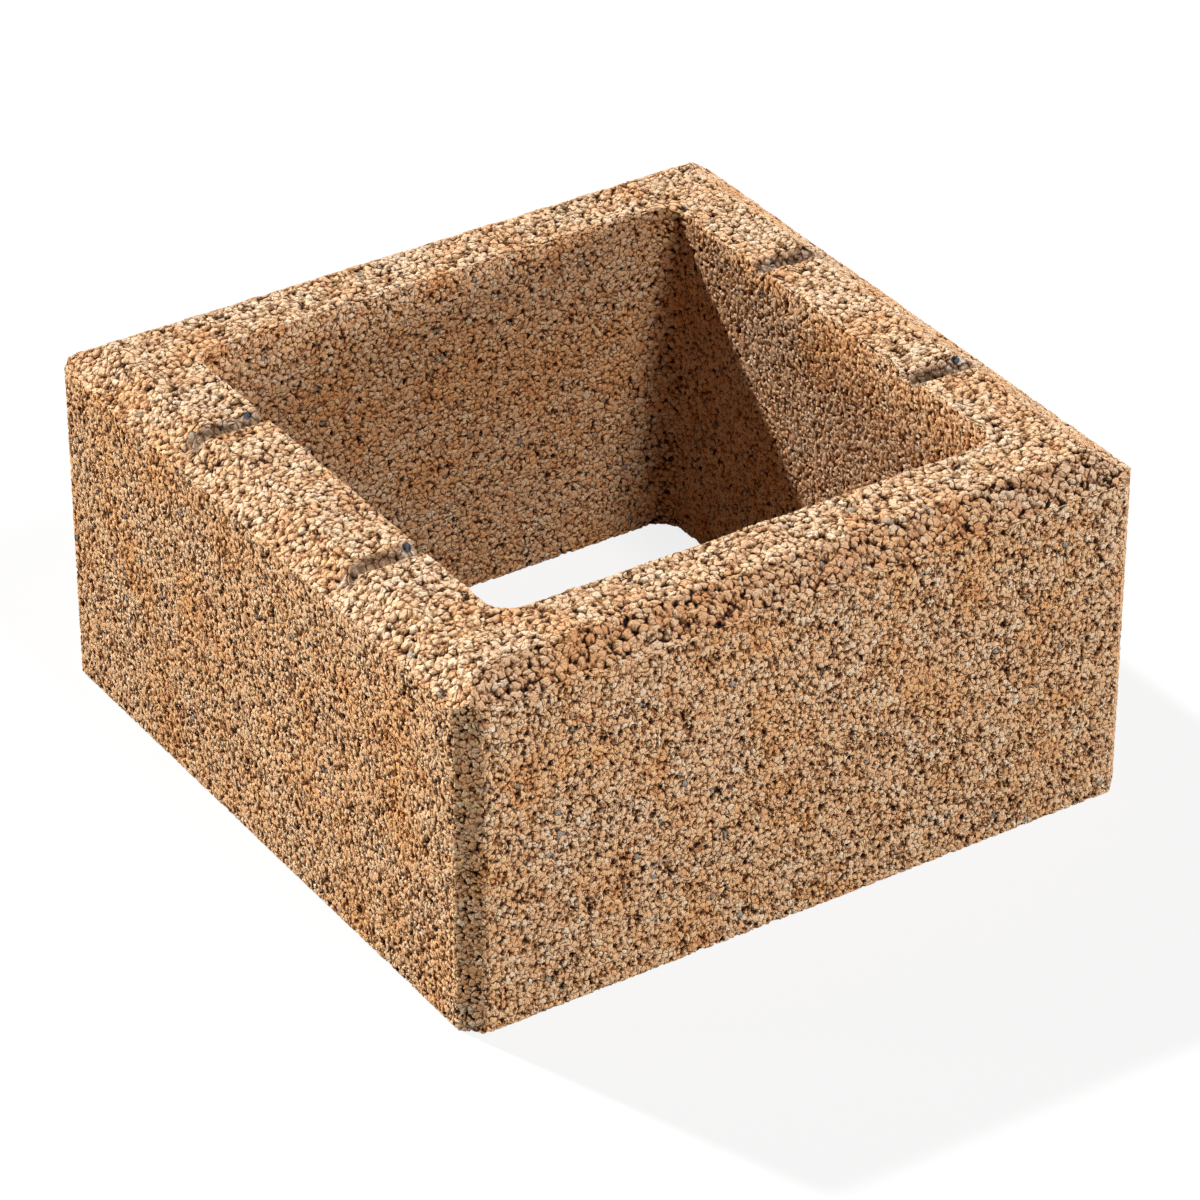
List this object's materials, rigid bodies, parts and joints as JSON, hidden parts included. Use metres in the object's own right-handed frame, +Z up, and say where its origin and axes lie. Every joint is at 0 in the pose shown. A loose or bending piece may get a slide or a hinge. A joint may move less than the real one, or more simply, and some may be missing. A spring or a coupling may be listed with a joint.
{
  "type": "hollow concrete planting block",
  "caption": "Square hollow walling and planting block of open-pored concrete, open from top to bottom, with a sloped top edge and break grooves.",
  "frame": {"origin": "centre of the block's foot, on the floor, in the middle of the through core", "axes": "+Z up along the open core, +X to the right-hand grooved wall, -Y to the front wall"},
  "size_m": [0.4, 0.4, 0.2],
  "materials": {
    "open_pored_concrete": "coarse open-pored sand-coloured concrete, matt"
  },
  "bodies": {
    "root": {"hollow_block": "open_pored_concrete"}
  },
  "joints": []
}
